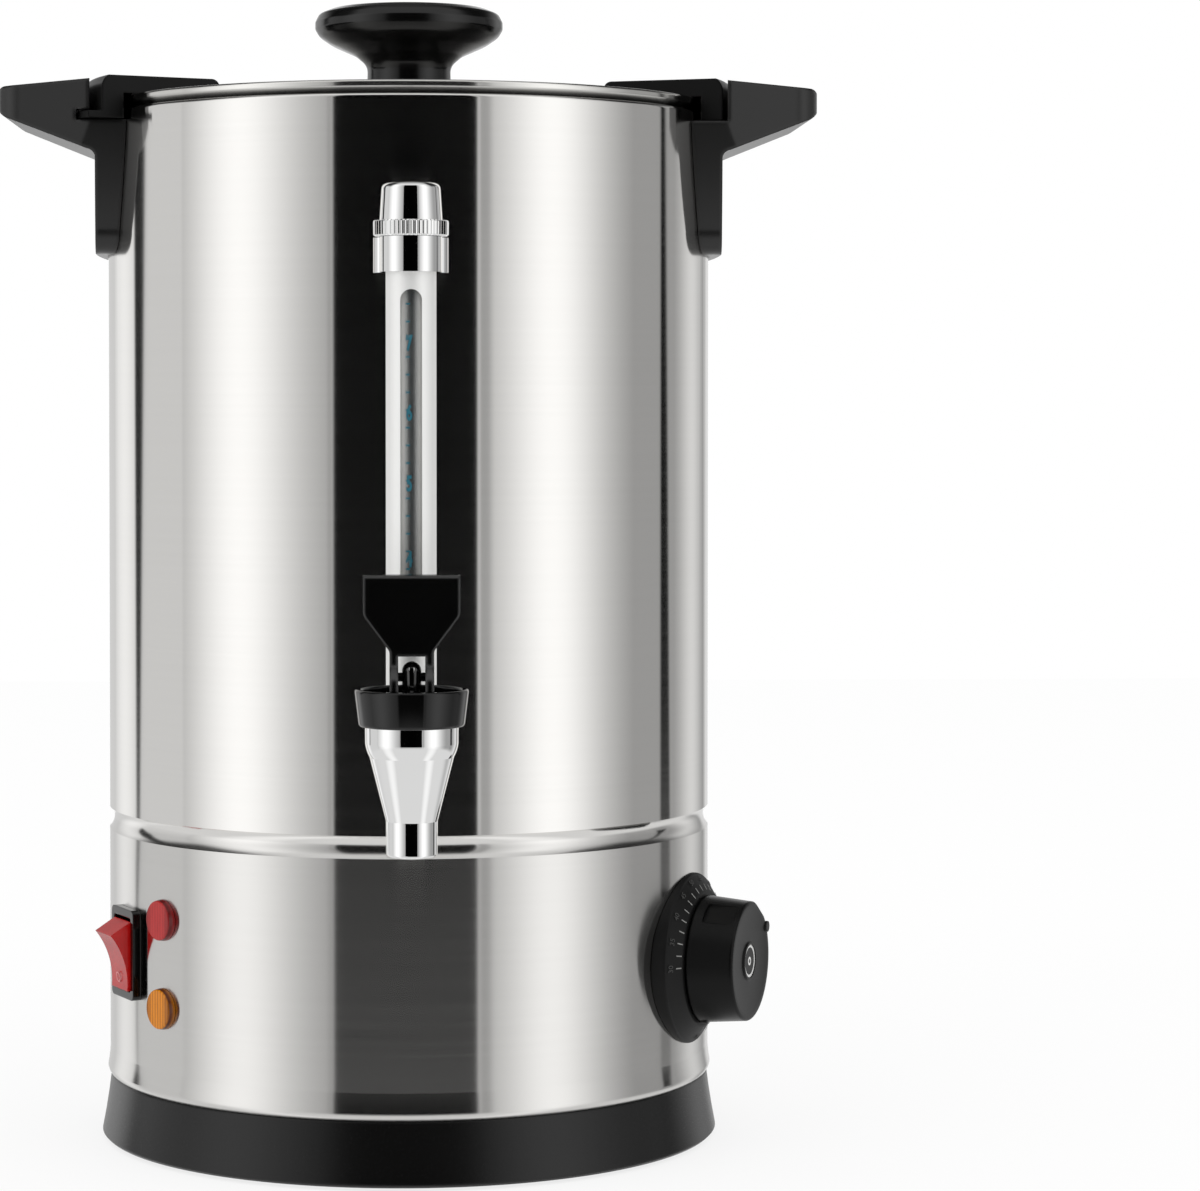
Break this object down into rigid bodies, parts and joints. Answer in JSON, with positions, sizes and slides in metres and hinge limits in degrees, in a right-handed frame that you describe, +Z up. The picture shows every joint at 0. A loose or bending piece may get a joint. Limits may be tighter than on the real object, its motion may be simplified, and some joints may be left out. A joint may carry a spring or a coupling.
{
  "type": "hot water urn",
  "caption": "Upright steel hot water urn with a twist-lock lid, ledge handles, level gauge, lever tap, rocker switch, lamps and a thermostat dial on a black plinth.",
  "frame": {"origin": "centre of the foot ring's underside, on the surface that the urn stands on", "axes": "+Z up the urn's axis; the tap is at the front, towards -Y; +X to the right seen from the front"},
  "size_m": [0.304, 0.3006, 0.4236],
  "materials": {
    "shell_steel": "brushed",
    "lid_steel": "polished",
    "inner_steel": "mill",
    "chrome": "polished",
    "black_satin": "satin",
    "black_gloss": "gloss",
    "red_clear": "gloss",
    "amber_clear": "gloss",
    "glass": "clear",
    "rubber": "matt",
    "silicone": "matt",
    "aluminium": "rolled",
    "brass": "turned",
    "zinc": "zinc plated",
    "cream_plastic": "moulded"
  },
  "bodies": {
    "base": {"base_plinth": "black_satin", "foot_ring": "rubber", "bottom_cover": "zinc", "base_screws": "zinc", "base_brackets": "zinc", "bracket_screws": "zinc", "body_shell": "shell_steel", "tank_floor": "inner_steel", "heating_plate": "aluminium", "heating_element": "inner_steel", "cutout_thermostat": "cream_plastic", "cutout_clip": "zinc", "cutout_screws": "zinc", "heat_shield": "zinc", "shield_studs": "zinc", "shield_nuts": "zinc", "thermostat_body": "cream_plastic", "thermostat_screws": "zinc", "dial_bezel": "black_satin", "switch_housing": "black_gloss", "switch_terminals": "brass", "lamp_lens_red": "red_clear", "lamp_lens_amber": "amber_clear", "lamp_bulbs": "glass", "lamp_clips": "zinc", "power_inlet": "black_satin", "inlet_pins": "brass", "inlet_screws": "zinc", "tap_body": "chrome", "shank_washers": "silicone", "shank_nut": "brass", "tap_bonnet": "black_gloss", "tap_spring": "zinc", "gauge_glass": "glass", "gauge_guard": "chrome", "gauge_seals": "silicone", "gauge_holder": "chrome", "holder_screw": "zinc", "gauge_ring": "chrome", "gauge_cap": "chrome", "handle_right": "black_satin", "handle_left": "black_satin", "handle_inserts": "brass", "handle_screws": "zinc"},
    "lid_assembly": {"lid": "lid_steel", "lid_knob": "black_satin", "knob_screw": "zinc", "lid_lock_right": "black_satin", "lid_lock_left": "black_satin", "lid_lock_screws": "zinc"},
    "stem": {"tap_stem": "chrome", "seat_cup": "silicone"},
    "lever": {"tap_lever": "black_gloss", "lever_pin": "black_gloss"},
    "rocker": {"switch_rocker": "red_clear"},
    "dial": {"dial_knob": "black_satin", "thermostat_spindle": "zinc"}
  },
  "joints": [
    {"name": "lid_twist", "type": "hinge", "parent": "base", "child": "lid_assembly", "pos_m": [0, 0, 0.3866], "axis": [0, 0, 1], "range_deg": [-2, 14]},
    {"name": "stem_lift", "type": "slide", "parent": "base", "child": "stem", "axis": [0, 0, 1], "range_m": [0, 0.00385], "stiffness_N_per_m": 100, "springref_m": -0.004, "deforming": ["tap_spring"]},
    {"name": "lever_tilt", "type": "hinge", "parent": "stem", "child": "lever", "pos_m": [0, -0.165, 0.1836], "axis": [1, 0, 0], "range_deg": [0, 40]},
    {"name": "rocker_tilt", "type": "hinge", "parent": "base", "child": "rocker", "pos_m": [-0.10092, -0.04599, 0.0741], "axis": [-0.4147, 0.91, 0], "range_deg": [0, 34]},
    {"name": "dial_turn", "type": "hinge", "parent": "base", "child": "dial", "pos_m": [0.10963, -0.04881, 0.0708], "axis": [-0.9135, 0.4067, 0], "range_deg": [-144, 126]}
  ],
  "couplings": [
    {"joint": "lever_tilt", "follows": "stem_lift", "rad_per_m": 181.33}
  ]
}
